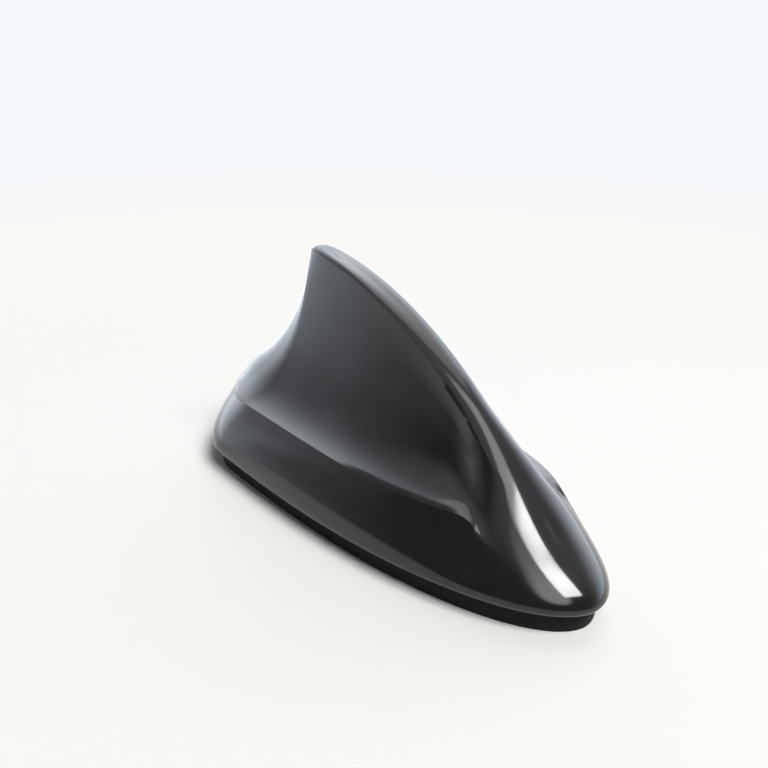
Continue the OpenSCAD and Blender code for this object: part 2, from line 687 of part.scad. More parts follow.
// Foam saddle on the blade's top edge that stops it from rattling in the fin
module blade_foam() {
    span_phi = [for (phi = [foam_phi[0]:1:foam_phi[1]]) phi];
    thick = 1.5;
    color([0.2, 0.2, 0.2]) difference() {
        upright(-thick, 2 * thick) polygon(concat(
            [for (phi = span_phi) blade_edge(phi, blade_gap[0] - 0.9)],
            [for (i = [len(span_phi) - 1:-1:0]) blade_edge(span_phi[i], -3.8)]));
        upright(-blade_t / 2 - slip, blade_t + 2 * slip) polygon(concat(
            [for (phi = [foam_phi[0] - 4:1:foam_phi[1] + 4]) blade_edge(phi, 0)],
            [for (phi = [foam_phi[1] + 4:-1:foam_phi[0] - 4]) blade_edge(phi, -6)]));
    }
}

housing();
roof_seal();
base_plate();
housing_seal();
housing_screws();
cable_grommet();
main_board();
board_screws();
patch_pad();
ceramic_patch();
patch_electrode();
feed_pin();
shield_can();
amplifier_chip();
filter_chips();
chip_capacitors();
coax_socket();
socket_pin();
blade_board();
blade_track();
blade_holder();
contact_spring();
blade_foam();
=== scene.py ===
import math

import bpy
import numpy as np
from mathutils import Matrix, Vector
from mathutils.bvhtree import BVHTree


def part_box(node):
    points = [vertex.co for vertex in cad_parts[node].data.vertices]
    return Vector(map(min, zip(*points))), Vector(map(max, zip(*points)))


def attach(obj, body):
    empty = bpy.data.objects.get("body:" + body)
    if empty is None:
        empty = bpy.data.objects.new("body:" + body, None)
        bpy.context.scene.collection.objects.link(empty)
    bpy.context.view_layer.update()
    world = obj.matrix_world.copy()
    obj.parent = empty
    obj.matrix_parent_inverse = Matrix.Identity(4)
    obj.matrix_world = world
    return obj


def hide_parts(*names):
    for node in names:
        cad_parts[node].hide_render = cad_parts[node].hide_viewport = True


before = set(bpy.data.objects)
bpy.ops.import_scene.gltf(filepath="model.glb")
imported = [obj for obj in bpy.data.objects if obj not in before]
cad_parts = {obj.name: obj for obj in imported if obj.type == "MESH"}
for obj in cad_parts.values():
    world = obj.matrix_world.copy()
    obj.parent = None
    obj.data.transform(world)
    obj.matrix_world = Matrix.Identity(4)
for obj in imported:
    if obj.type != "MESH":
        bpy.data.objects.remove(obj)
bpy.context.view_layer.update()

# Lengths of the fin's form are in millimetres, and meshes are written in metres
MM = 0.001

# The housing's own size, from its solid
low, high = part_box("housing")
HALF_LEN = (high.x - low.x) / 2 / MM
HALF_W = (high.y - low.y) / 2 / MM
STAND_H = low.z / MM

# The rest of the housing's form, by the same rules as its solid
TIP = np.array([36 - HALF_LEN, 0, 64])
FOOT = np.array([12 - HALF_LEN, 0, 28])
WALL = 2.4
SHOULDER_H, SHOULDER_IN, SHOULDER_RISE = 20.6, 8, 1.2
SHOULDER_NOSE_IN, SHOULDER_TAIL_IN = 11, 3
RIDGE_W = 7.8
BULGE_H, INNER_FOOT_H, LIP_LEAN = 1.7, 4.6, 0.16
LIP_TUCK, LIP_W = 1.5, 2.5
LIP_IN = LIP_TUCK + LIP_W
WIDE_BACK, SHOULDER_WIDE_BACK = 43.6, 39.2
OUTLINE_ROUND = (2.6, 1.9, 1.7, 1.65)
SHOULDER_ROUND = (4.8, 1.14, 1.7, 1.7)
NOSE_PULL, NOSE_SLOPE, TOP_PULL, TOP_SLOPE = 15.2, 28.6, 69.6, 4
REAR_PULL, REAR_SLOPE, FOOT_PULL, FOOT_SLOPE = 11.5, 79, 14.8, 34
TIP_ROUND, STRIP_SINK, STRIP_SINK_NOSE = 1.8, 0.5, 5.4
REAR_SINK, TAIL_REACH, EDGE_R, TAIL_MELT, SOFT_START = 3, 8, 2.4, 0.35, 2.6
TIP_PHI, SCOOP_PHI, CLOSE_PHI, TAIL_PHI = (100, 108), (36, 52), (150, 180), (136, 174)
SINK_PHI, REAR_PHI, EDGE_PHI = (104, 140), (90, 104), (108, 118)
NOSE_PART, SPREAD, NOSE_V = 0.3, 1.5, (0.42, 0.8)
EASE_FRONT, EASE_REAR, EASE_TIMES = (28, 36, 50, 60), (84, 92, 118, 134), 16
UP = np.array([0, 0, 1.0])

# Steps of the drawn surface, much finer than the solid's
MERIDIANS = 180
OUTER_ROWS = (4, 16, 30, 12)
INNER_ROWS = (1, 6, 10, 4)


def col(a):
    return np.asarray(a, float)[..., None]


def mix(a, b, k):
    return a + (b - a) * k


def smooth(ends, x):
    t = np.clip((np.asarray(x, float) - ends[0]) / (ends[1] - ends[0]), 0, 1)
    return t * t * (3 - 2 * t)


def size(v):
    return np.linalg.norm(v, axis=-1, keepdims=True)


def unit(v):
    return v / np.maximum(size(v), 1e-9)


def heading(angle):
    return np.array([math.cos(math.radians(angle)), 0, math.sin(math.radians(angle))])


def inward(v):
    return np.stack([-v[..., 2], 0 * v[..., 0], v[..., 0]], -1)


def across(v, n):
    return v - (v * n).sum(-1, keepdims=True) * n


def bez(p, t):
    return (1 - t) ** 3 * p[0] + 3 * (1 - t) ** 2 * t * p[1] + 3 * (1 - t) * t * t * p[2] + t ** 3 * p[3]


def slope(p, t):
    return 3 * (1 - t) ** 2 * (p[1] - p[0]) + 6 * (1 - t) * t * (p[2] - p[1]) + 3 * t * t * (p[3] - p[2])


def span(a, ta, tb, b):
    return (a, a + ta / 3, b - tb / 3, b)


def plan(phi, nose, wide, tail, half, power):
    c, s = np.cos(np.radians(phi)), np.abs(np.sin(np.radians(phi)))
    s = np.where(s < 1e-9, 0, s)
    fore = c >= 0
    x = np.where(fore, wide + (nose - wide) * np.abs(c) ** (2 / power[0]),
                 wide - (wide - tail) * np.abs(c) ** (2 / power[2]))
    return x, half * s ** np.where(fore, 2 / power[1], 2 / power[3])


def outline(phi, inset, z):
    """Points of the base's outline at a distance inside its widest line."""
    x, y = plan(phi, HALF_LEN - inset, -WIDE_BACK, inset - HALF_LEN, HALF_W - inset, OUTLINE_ROUND)
    return np.stack([x, y, 0 * x + z], -1)


def widest_at(phi, depth):
    return outline(phi, LIP_IN * depth, STAND_H + mix(BULGE_H, INNER_FOOT_H, depth))


def shoulder_at(phi, depth):
    w = WALL * depth
    x, y = plan(phi, HALF_LEN - SHOULDER_NOSE_IN - w, -SHOULDER_WIDE_BACK,
                SHOULDER_TAIL_IN + w - HALF_LEN, HALF_W - SHOULDER_IN - w, SHOULDER_ROUND)
    return np.stack([x, y, SHOULDER_H + SHOULDER_RISE * x / HALF_LEN - 0.8 * w], -1)


def front_curve(depth):
    rise = heading(180 - NOSE_SLOPE)
    nose, outer_nose = widest_at(np.array([0.0]), depth)[0], widest_at(np.array([0.0]), 0)[0]
    return (nose, outer_nose + NOSE_PULL * rise + 1.3 * WALL * depth * inward(rise),
            TIP + TOP_PULL * heading(-TOP_SLOPE) - WALL * depth * UP,
            TIP + 1.05 * WALL * depth * np.array([1, 0, -1]))


def rear_curve(depth):
    into = WALL * depth * heading(FOOT_SLOPE - 90)
    return (TIP + 1.05 * WALL * depth * np.array([1, 0, -1]),
            TIP - REAR_PULL * heading(REAR_SLOPE) + WALL * depth * np.array([1, 0, 0]),
            FOOT + FOOT_PULL * heading(FOOT_SLOPE) + 1.1 * into, FOOT + 1.3 * into)


def top_edge(phi, depth):
    """Points and headings of the top edge: front run, rounded tip, rear run."""
    front, rear = front_curve(depth), rear_curve(depth)
    peak = front[3]
    front_end = 1 - TIP_ROUND / (3 * np.linalg.norm(front[3] - front[2]))
    rear_start = TIP_ROUND / (3 * np.linalg.norm(rear[1] - rear[0]))
    ahead = col(mix(NOSE_PART, front_end, np.clip(phi / TIP_PHI[0], 0, 1) ** SPREAD))
    behind = col(mix(rear_start, 1, np.clip((phi - TIP_PHI[1]) / (180 - TIP_PHI[1]), 0, 1)))
    k = col(np.clip((phi - TIP_PHI[0]) / (TIP_PHI[1] - TIP_PHI[0]), 0, 1))
    a, b = bez(front, front_end), bez(rear, rear_start)
    first, last = col(phi <= TIP_PHI[0]), col(phi >= TIP_PHI[1])
    point = np.where(first, bez(front, ahead), np.where(last, bez(rear, behind),
                     mix(mix(a, peak, k), mix(peak, b, k), k)))
    way = np.where(first, slope(front, ahead), np.where(last, slope(rear, behind), mix(peak - a, b - peak, k)))
    return point, unit(way)


def rear_rule(depth):
    """The flank's half width by height ahead of the rear edge, that edge's place by height, and the wall."""
    t = np.linspace(0, 1, 25)
    def line(phi, part):
        return bez([p[0] for p in meridians(np.array([phi]), depth)[part]], col(t))
    back = np.concatenate([line(180.0, 1), line(180.0, 2), bez(rear_curve(depth), col(t[::-1]))])
    return line(90.0, 1), back, WALL * depth


def rear_half(p, rule):
    """Half width behind the flanks, which round off towards the rear edge as the shoulder does in plan."""
    flank, back, wall = rule
    x, z = p[..., 0], p[..., 2]
    rise = np.clip((z - SHOULDER_H) / (TIP[2] - SHOULDER_H), 0, 1)
    rear = np.interp(z, back[:, 2], back[:, 0])
    start = mix(-SHOULDER_WIDE_BACK, TIP[0] + EDGE_R + wall, rise)
    behind = np.clip((start - x) / (start - rear), 0, 1)
    melt = mix(1, TAIL_MELT, smooth((SHOULDER_WIDE_BACK, HALF_LEN - SHOULDER_TAIL_IN), -x))
    half = np.interp(mix(SHOULDER_H - 0.8 * wall, z, melt), flank[:, 2], flank[:, 1])
    turned = mix(behind ** SOFT_START, behind ** SHOULDER_ROUND[2], smooth((0, 0.5), behind))
    return half * (1 - turned) ** (1 / SHOULDER_ROUND[3])


def crease_at(phi, depth, rule=None):
    """The line where the strip along the top edge begins; at the tail it closes on the middle."""
    point, way = top_edge(phi, depth)
    nose = np.clip(1 - phi / TIP_PHI[0], 0, 1) ** 2
    sink = mix(STRIP_SINK + STRIP_SINK_NOSE * nose, REAR_SINK * (1 - 0.6 * depth), smooth(SINK_PHI, phi))
    turn = np.radians(90 * (1 + smooth(CLOSE_PHI, phi)))
    reach = TAIL_REACH * (1 - 0.3 * depth)
    p = point + inward(way) * col(sink * np.sin(turn)) - way * col(reach * np.cos(turn))
    half = RIDGE_W / 2 - 0.9 * WALL * depth
    if rule:
        half = mix(half, rear_half(p, rule), smooth(REAR_PHI, phi))
    p[..., 1] = np.where(phi >= 180, 0, half)
    return p


def meridians(phi, depth, rule=None):
    """Skirt, scoop and strip of each meridian, as cubic spans; at the nose they run as one smooth line."""
    foot, (top, way) = widest_at(phi, depth), top_edge(phi, depth)
    n, front = inward(way), front_curve(depth)
    nose_line = np.linalg.norm(bez(front, NOSE_PART) - front[0])
    scooped, rounded = col(smooth(SCOOP_PHI, phi)), col(smooth(TAIL_PHI, phi))
    inner_way = unit((top - foot) * np.array([1, 1, 0]))
    upright = UP + LIP_LEAN * (1 - depth) * inner_way
    rise = upright * np.linalg.norm(front[1] - front[0]) * 3 * NOSE_PART * mix(1, 0.3, depth)
    pull = np.linalg.norm(slope(front, NOSE_PART)) * NOSE_PART
    fall = unit(across(top - foot, n)) * pull * size(top - foot) / nose_line
    plain = span(foot, rise, fall, top)
    shoulder = mix(bez(plain, NOSE_V[0]), shoulder_at(phi, depth), scooped)
    crease = mix(bez(plain, NOSE_V[1]), crease_at(phi, depth, rule), scooped)
    at_shoulder, at_crease = slope(plain, NOSE_V[0]), slope(plain, NOSE_V[1])
    v1, v2, v3 = NOSE_V[0], NOSE_V[1] - NOSE_V[0], 1 - NOSE_V[1]
    lift, lean, over = shoulder - foot, crease - shoulder, top - crease
    inwards = lean * np.array([1, 1, 0])
    below = mix(lift, size(lift) * unit(crease - foot), rounded)
    ledge = mix(2 * size(inwards) * unit(inwards + 0.12 * size(inwards) * UP),
                size(lean) * unit(crease - foot), rounded)
    wall_up = mix(1.8 * np.abs(lean[..., 2:]) * unit(lean * np.array([0.1, 0.1, 1])),
                  size(lean) * unit(top - shoulder), rounded)
    brow = size(over) * unit(mix(over - 0.7 * size(over) * n, top - shoulder, rounded))
    return (span(foot, mix(rise * v1, upright * size(lift), scooped), mix(at_shoulder * v1, below, scooped), shoulder),
            span(shoulder, mix(at_shoulder * v2, ledge, scooped), mix(at_crease * v2, wall_up, scooped), crease),
            span(crease, mix(at_crease * v3, brow, scooped),
                 mix(fall * v3, size(over) * unit(across(over, n)), scooped), top))


def angles(n):
    """Angles of the meridians from nose to tail, closer together along the straighter sides."""
    j = np.arange(n + 1) / n
    return np.where(j < 0.5, 90 * (1 - np.abs(1 - 2 * j) ** 1.3), 180 * j)


def eased(points, phi, part):
    """A ring's points evened out along it, where its scoops begin and where its rear edge turns."""
    front = smooth(EASE_FRONT[:2], phi) * (1 - smooth(EASE_FRONT[2:], phi))
    rear = smooth(EASE_REAR[:2], phi) * (1 - smooth(EASE_REAR[2:], phi))
    weight = col(0.5 * part * np.maximum(front, rear))
    for _ in range(EASE_TIMES):
        between = points.copy()
        between[1:-1] = (points[:-2] + points[2:]) / 2
        points = mix(points, between, weight)
    return points


def rings(depth, rows, n):
    """Rings of points round the body from lip to crease, then the top edge's one row."""
    phi = angles(n)
    lip = outline(phi, mix(LIP_TUCK, LIP_IN, depth), STAND_H)
    rule = rear_rule(depth)
    skirt, scoop, strip = meridians(phi, depth, rule)
    wide = skirt[0]
    out = (wide - lip) * np.array([1, 1, 0])
    lines = (span(lip, 1.6 * out, 1.6 * (wide - lip - out), wide), skirt, scoop, strip)
    halves = [bez(line, i / count) for line, count in zip(lines, rows) for i in range(count)]
    for i, h in enumerate(halves[rows[0] + rows[1]:]):
        h[:, 1] = mix(h[:, 1], rear_half(h, rule), smooth(REAR_PHI if i < rows[2] else EDGE_PHI, phi))
    parts = np.concatenate([np.ones(sum(rows[:3])), 1 - smooth((0, 1), np.arange(rows[3]) / rows[3])])
    halves = [eased(h, phi, part) for h, part in zip(halves, parts)]
    right = np.array([1, -1, 1])
    closed = [np.concatenate([h, (h * right)[-2:0:-1]]) for h in halves]
    return closed, strip[3] * np.array([1, 0, 1])


def skin_faces(count, n, first):
    """Quads between the rings, and to the top edge's row, which both sides share."""
    faces = []
    turn = 2 * n
    for r in range(count):
        for j in range(turn):
            k = (j + 1) % turn
            a, b = first + r * turn + j, first + r * turn + k
            if r + 1 < count:
                c, d = first + (r + 1) * turn + k, first + (r + 1) * turn + j
            else:
                c = first + count * turn + min(j + 1, turn - j - 1)
                d = first + count * turn + min(j, turn - j)
            faces.append([v for i, v in enumerate((a, b, c, d)) if v != (a, b, c, d)[i - 1]])
    return faces


def new_piece(name, points, faces, material, sharp=30):
    mesh = bpy.data.meshes.new(name)
    mesh.from_pydata([tuple(p) for p in np.asarray(points) * MM], [], faces)
    mesh.validate()
    mesh.shade_smooth()
    mesh.set_sharp_from_angle(angle=math.radians(sharp))
    mesh.materials.append(material)
    piece = bpy.data.objects.new(name, mesh)
    bpy.context.scene.collection.objects.link(piece)
    return piece


def material(name, color, roughness, **values):
    """A new material with its Principled shader, and the tree to add to."""
    made = bpy.data.materials.new(name)
    made.use_nodes = True
    shader = made.node_tree.nodes["Principled BSDF"]
    shader.inputs["Base Color"].default_value = (*color, 1)
    shader.inputs["Roughness"].default_value = roughness
    for socket, value in values.items():
        shader.inputs[socket.replace("_", " ")].default_value = value
    return made, made.node_tree, shader


def noise(tree, scale, detail=3, rough=0.5):
    """Noise in the object's own space, with its scale in waves a metre."""
    where = tree.nodes.new("ShaderNodeTexCoord")
    made = tree.nodes.new("ShaderNodeTexNoise")
    made.inputs["Scale"].default_value = scale
    made.inputs["Detail"].default_value = detail
    made.inputs["Roughness"].default_value = rough
    tree.links.new(where.outputs["Object"], made.inputs["Vector"])
    return made.outputs["Fac"]


def spread(tree, value, low_value, high_value):
    made = tree.nodes.new("ShaderNodeMapRange")
    made.inputs["From Min"].default_value = 0.3
    made.inputs["From Max"].default_value = 0.7
    made.inputs["To Min"].default_value = low_value
    made.inputs["To Max"].default_value = high_value
    tree.links.new(value, made.inputs["Value"])
    return made.outputs["Result"]


def tint(tree, shader, value, dark, light):
    ramp = tree.nodes.new("ShaderNodeValToRGB")
    ramp.color_ramp.elements[0].position = 0.35
    ramp.color_ramp.elements[1].position = 0.65
    ramp.color_ramp.elements[0].color = (*dark, 1)
    ramp.color_ramp.elements[1].color = (*light, 1)
    tree.links.new(value, ramp.inputs["Fac"])
    tree.links.new(ramp.outputs["Color"], shader.inputs["Base Color"])


def bump(tree, shader, value, height):
    made = tree.nodes.new("ShaderNodeBump")
    made.inputs["Strength"].default_value = 1
    made.inputs["Distance"].default_value = height
    tree.links.new(value, made.inputs["Height"])
    tree.links.new(made.outputs["Normal"], shader.inputs["Normal"])


def surface(name, dark, light, rough, grain, height, **values):
    """A material with a mottled colour, uneven roughness and a fine bump."""
    made, tree, shader = material(name, dark, rough[0], **values)
    tint(tree, shader, noise(tree, grain / 6), dark, light)
    tree.links.new(spread(tree, noise(tree, grain / 3), *rough), shader.inputs["Roughness"])
    bump(tree, shader, noise(tree, grain), height)
    return made


BLACK_GLOSS = surface("black_gloss", (0.007, 0.007, 0.008), (0.010, 0.010, 0.011), (0.09, 0.12), 900, 1e-6,
                      IOR=1.55)
# Black rubber for both seals, painted darker and duller than the rubber itself: painted shade for the dark gap under
# the cover's lip
SEAL_RUBBER_AND_PAINTED_SHADE = surface("seal_rubber", (0.008, 0.007, 0.006), (0.012, 0.010, 0.008), (0.6, 0.75), 2600, 1e-5,
                      Specular_IOR_Level=0.18)
CAST_ALLOY = surface("cast_alloy", (0.47, 0.48, 0.49), (0.53, 0.54, 0.55), (0.36, 0.5), 5200, 2.5e-5, Metallic=0.9)
SCREW_STEEL = surface("screw_steel", (0.55, 0.56, 0.58), (0.68, 0.69, 0.70), (0.22, 0.36), 2500, 3e-6, Metallic=1)
GROMMET_RUBBER = surface("grommet_rubber", (0.022, 0.022, 0.022), (0.034, 0.034, 0.034), (0.5, 0.65), 3000, 1e-5)
BOARD_GREEN = surface("board_green", (0.010, 0.085, 0.040), (0.016, 0.11, 0.052), (0.25, 0.38), 1500, 2e-6)
ADHESIVE = surface("adhesive", (0.62, 0.60, 0.52), (0.74, 0.72, 0.64), (0.6, 0.8), 3000, 1e-5)
PATCH_CERAMIC = surface("patch_ceramic", (0.50, 0.42, 0.32), (0.60, 0.52, 0.42), (0.35, 0.5), 2500, 4e-6)
SILVER = surface("silver", (0.70, 0.70, 0.68), (0.82, 0.82, 0.80), (0.2, 0.35), 2000, 2e-6, Metallic=1)
CHIP_BLACK = surface("chip_black", (0.014, 0.014, 0.015), (0.024, 0.024, 0.025), (0.4, 0.55), 5000, 4e-6)
GOLD = surface("gold", (0.72, 0.50, 0.18), (0.85, 0.62, 0.28), (0.18, 0.3), 2500, 2e-6, Metallic=1)
COPPER = surface("copper", (0.62, 0.30, 0.16), (0.76, 0.40, 0.24), (0.25, 0.4), 2500, 2e-6, Metallic=1)
HOLDER_PLASTIC = surface("holder_plastic", (0.62, 0.61, 0.56), (0.70, 0.69, 0.64), (0.4, 0.55), 2200, 5e-6)
FOAM = surface("foam", (0.022, 0.022, 0.022), (0.045, 0.045, 0.045), (0.8, 0.95), 6000, 8e-5)

NODE_MATERIALS = {
    "base_plate": CAST_ALLOY, "housing_seal": SEAL_RUBBER_AND_PAINTED_SHADE, "housing_screws": SCREW_STEEL,
    "cable_grommet": GROMMET_RUBBER, "main_board": BOARD_GREEN, "board_screws": SCREW_STEEL,
    "patch_pad": ADHESIVE, "ceramic_patch": PATCH_CERAMIC, "patch_electrode": SILVER, "feed_pin": SILVER,
    "shield_can": SILVER, "amplifier_chip": CHIP_BLACK, "filter_chips": PATCH_CERAMIC,
    "chip_capacitors": PATCH_CERAMIC, "coax_socket": GOLD, "socket_pin": GOLD, "blade_board": BOARD_GREEN,
    "blade_track": COPPER, "blade_holder": HOLDER_PLASTIC, "contact_spring": GOLD, "blade_foam": FOAM,
    "roof_seal": SEAL_RUBBER_AND_PAINTED_SHADE, "housing": BLACK_GLOSS,
}


def dress_nodes():
    for name, made in NODE_MATERIALS.items():
        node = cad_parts[name]
        node.data.materials.clear()
        node.data.materials.append(made)


# Inside the cover: screw bosses with pilot bores, guides for the upright board and a rib under the nose
SCREW_PHI, SCREW_IN, NOSE_SCREW_IN = (48, 82, 146), 8.6, 14
BOSS_LOW, BOSS_R, PILOT_R, PILOT_H = 9.4, 3, 1.5, 5.2
GUIDE_PHI, GUIDE_GAP, GUIDE_LOW, GUIDE_SLOT, SLAB_T = (98, 85.6), (3.2, 2.5), 40, 0.75, 1.6
RIB_X, RIB_LOW = 45, 18.6
BOSS_SIDES, SLAB_STEPS = 32, 14


def mid_wall():
    """The surface half way through the wall, where the features inside end."""
    points, top = rings(0.5, INNER_ROWS, MERIDIANS)
    return BVHTree.FromPolygons([tuple(p) for p in np.concatenate(points + [top])],
                                skin_faces(len(points), MERIDIANS, 0))


def reach(wall, start, way):
    return wall.ray_cast(Vector(start), Vector(way))[0]


def boss(wall, x, y):
    """A round boss from the base plate's rim up into the wall, with a blind bore for its screw."""
    turns = [math.tau * k / BOSS_SIDES for k in range(BOSS_SIDES)]
    around = [(math.cos(t), math.sin(t)) for t in turns]
    outer = [(x + BOSS_R * c, y + BOSS_R * s, BOSS_LOW) for c, s in around]
    tops = [tuple(reach(wall, p, (0, 0, 1))) for p in outer]
    bore = [(x + PILOT_R * c, y + PILOT_R * s, BOSS_LOW) for c, s in around]
    bore_end = [(px, py, BOSS_LOW + PILOT_H) for px, py, pz in bore]
    n = BOSS_SIDES
    faces = [list(range(n, 2 * n)), list(range(3 * n, 4 * n))]
    for k in range(n):
        j = (k + 1) % n
        faces += [[k, j, n + j, n + k], [2 * n + k, 2 * n + j, j, k], [3 * n + k, 3 * n + j, 2 * n + j, 2 * n + k]]
    return outer + tops + bore + bore_end, faces


def slab(wall, x, low_z, slot, side):
    """An upright slab across the middle plane, or its part on one side of a slot, as far as the wall."""
    ends = []
    for edge in (x - SLAB_T / 2, x + SLAB_T / 2):
        roof = reach(wall, (edge, slot, low_z), (0, 0, 1))[2]
        heights = [low_z + (roof - low_z) * k / SLAB_STEPS for k in range(SLAB_STEPS)]
        flank = [(reach(wall, (edge, slot, z), (0, 1, 0))[1], z) for z in heights]
        if side:
            loop = [(slot, low_z)] + flank + [(slot, roof)]
            loop = [(edge, side * y, z) for y, z in loop]
        else:
            loop = [(edge, y, z) for y, z in flank] + [(edge, 0, roof)] + [(edge, -y, z) for y, z in flank[::-1]]
        ends.append(loop if side >= 0 else loop[::-1])
    n = len(ends[0])
    faces = [list(range(n))[::-1], list(range(n, 2 * n))]
    faces += [[k, (k + 1) % n, n + (k + 1) % n, n + k] for k in range(n)]
    return ends[0] + ends[1], faces


def inner_features():
    wall = mid_wall()
    rear_screws = outline(np.array(SCREW_PHI, float), SCREW_IN, 0)
    made = [boss(wall, HALF_LEN - NOSE_SCREW_IN, 0)]
    made += [boss(wall, x, side * y) for x, y, z in rear_screws for side in (1, -1)]
    for phi, gap in zip(GUIDE_PHI, GUIDE_GAP):
        point, way = top_edge(np.array([phi]), 1)
        x = (point + gap * inward(way))[0][0]
        made += [slab(wall, x, GUIDE_LOW, GUIDE_SLOT, side) for side in (1, -1)]
    made.append(slab(wall, RIB_X, RIB_LOW, 0, 0))
    return made


def fin_cover():
    """The moulded cover: its outside, the inside of its wall, the flat lip between them and what is inside."""
    outer, outer_top = rings(0, OUTER_ROWS, MERIDIANS)
    inner, inner_top = rings(1, INNER_ROWS, MERIDIANS)
    first = len(outer) * 2 * MERIDIANS + len(outer_top)
    faces = skin_faces(len(outer), MERIDIANS, 0)
    faces += [f[::-1] for f in skin_faces(len(inner), MERIDIANS, first)]
    turn = 2 * MERIDIANS
    faces += [[first + j, first + (j + 1) % turn, (j + 1) % turn, j] for j in range(turn)]
    points = np.concatenate(outer + [outer_top] + inner + [inner_top])
    points[:, 2] = np.minimum(points[:, 2], high.z / MM)
    for more, more_faces in inner_features():
        faces += [[len(points) + v for v in f] for f in more_faces]
        points = np.concatenate([points, np.array(more)])
    piece = new_piece("fin_cover", points, faces, BLACK_GLOSS, 40)
    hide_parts("housing")
    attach(piece, "root")


def rounded(corners, radius, steps=4):
    """A closed profile with each corner cut to an arc-like curve."""
    points = []
    count = len(corners)
    for i, corner in enumerate(corners):
        corner = np.array(corner, float)
        before, after = np.array(corners[i - 1]) - corner, np.array(corners[(i + 1) % count]) - corner
        cut = min(radius, 0.45 * np.linalg.norm(before), 0.45 * np.linalg.norm(after))
        a, b = corner + cut * unit(before), corner + cut * unit(after)
        for t in np.linspace(0, 1, steps + 1):
            points.append((1 - t) ** 2 * a + 2 * (1 - t) * t * corner + t * t * b)
    return points


def swept(profile):
    """A closed band round the base: each profile point is a distance inside the widest line and a height."""
    phi = angles(MERIDIANS)
    turn = 2 * MERIDIANS
    rows = []
    for inset, z in profile:
        half = outline(phi, inset, z)
        rows.append(np.concatenate([half, (half * np.array([1, -1, 1]))[-2:0:-1]]))
    faces = [[r * turn + j, r * turn + (j + 1) % turn, (r + 1) % len(rows) * turn + (j + 1) % turn,
              (r + 1) % len(rows) * turn + j] for r in range(len(rows)) for j in range(turn)]
    return np.concatenate(rows), faces


def pegs(places, stages):
    """Turned pegs: each stage is a radius and a height, from the foot up."""
    points, faces = [], []
    sides = 32
    for x, y in places:
        first = len(points)
        for radius, z in stages:
            points += [(x + radius * math.cos(math.tau * k / sides), y + radius * math.sin(math.tau * k / sides), z)
                       for k in range(sides)]
        faces.append([first + k for k in range(sides)][::-1])
        for r in range(len(stages) - 1):
            a = first + r * sides
            faces += [[a + k, a + (k + 1) % sides, a + sides + (k + 1) % sides, a + sides + k] for k in range(sides)]
        last = first + (len(stages) - 1) * sides
        faces.append([last + k for k in range(sides)])
    return np.array(points), faces


# The roof seal: its step behind the widest line, band, ribs and pegs
SEAL_STEP, SEAL_T, SEAL_W, RIB_H, RIB_W = 3, 2.4, 8, 0.6, 0.9
PLUG_IN, PEG_PHI, PEG_IN, PEG_R, PLATE_T = LIP_IN + 0.25, (24, 64, 114), 9.6, 1.5, 2.6


def roof_gasket():
    """The rubber seal under the base: an upright step below the lip, a flat band with ribs, and pegs above."""
    corners = []
    for i in range(3):
        start = SEAL_STEP + i * (SEAL_W - RIB_W) / 2
        corners += [(start, RIB_H), (start, 0), (start + RIB_W, 0), (start + RIB_W, RIB_H)]
    corners = corners[1:-1] + [(SEAL_STEP + SEAL_W, SEAL_T), (PLUG_IN, SEAL_T), (PLUG_IN, STAND_H), (SEAL_STEP, STAND_H)]
    points, faces = swept(rounded(corners, 0.35))
    centres = [p * np.array([1, side, 1]) for p in outline(np.array(PEG_PHI, float), PEG_IN, 0) for side in (1, -1)]
    top = SEAL_T + PLATE_T + 0.4
    more, more_faces = pegs([p[:2] for p in centres], ((PEG_R, SEAL_T), (PEG_R, SEAL_T + PLATE_T), (PEG_R + 0.7, SEAL_T + PLATE_T),
                            (PEG_R + 0.7, top + 0.5), (PEG_R + 0.4, top + 0.8)))
    first = len(points)
    piece = new_piece("roof_gasket", np.concatenate([points, more]),
                      [f[::-1] for f in faces] + [[first + v for v in f] for f in more_faces], SEAL_RUBBER_AND_PAINTED_SHADE, 35)
    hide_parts("roof_seal")
    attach(piece, "root")


def camera():
    """The photograph's view: how the camera is turned and how far it stands from a point in the fin."""
    azimuth, elevation, roll = math.radians(54.01), math.radians(22.56), math.radians(1.1)
    distance, target = 0.27754, Vector((0, 0, 0.0285))
    focal, shift_right, shift_down, width = 1055, 13.21, 22.18, 768
    back = Vector((math.sin(azimuth) * math.cos(elevation), -math.cos(azimuth) * math.cos(elevation),
                   math.sin(elevation)))
    right = Vector((math.cos(azimuth), math.sin(azimuth), 0))
    up = back.cross(right)
    turned_right = math.cos(roll) * right + math.sin(roll) * up
    turned_up = math.cos(roll) * up - math.sin(roll) * right
    made = bpy.data.objects.new("camera", bpy.data.cameras.new("camera"))
    made.data.angle = 2 * math.atan(width / 2 / focal)
    made.data.shift_x = -shift_right / width
    made.data.shift_y = shift_down / width
    made.data.clip_start = 0.01
    turn = Matrix((turned_right, turned_up, back)).transposed().to_4x4()
    made.matrix_world = Matrix.Translation(target + back * distance) @ turn
    bpy.context.scene.collection.objects.link(made)
    bpy.context.scene.camera = made


def area(name, place, aim, width, height, watts, color=(1, 1, 1)):
    light = bpy.data.lights.new(name, "AREA")
    light.shape = "RECTANGLE"
    light.size, light.size_y, light.energy, light.color = width, height, watts, color
    made = bpy.data.objects.new(name, light)
    made.location = place
    made.rotation_euler = (Vector(aim) - Vector(place)).to_track_quat("-Z", "Y").to_euler()
    bpy.context.scene.collection.objects.link(made)


def toward(azimuth, elevation):
    """A direction, with its azimuth in degrees from +X towards +Y."""
    a, e = math.radians(azimuth), math.radians(elevation)
    return Vector((math.cos(a) * math.cos(e), math.sin(a) * math.cos(e), math.sin(e)))


def share(tree, value, start, end):
    """How far a value has come from start to end, on a smooth step."""
    made = tree.nodes.new("ShaderNodeMapRange")
    made.interpolation_type = "SMOOTHSTEP"
    made.inputs["From Min"].default_value = start
    made.inputs["From Max"].default_value = end
    tree.links.new(value, made.inputs["Value"])
    return made.outputs["Result"]


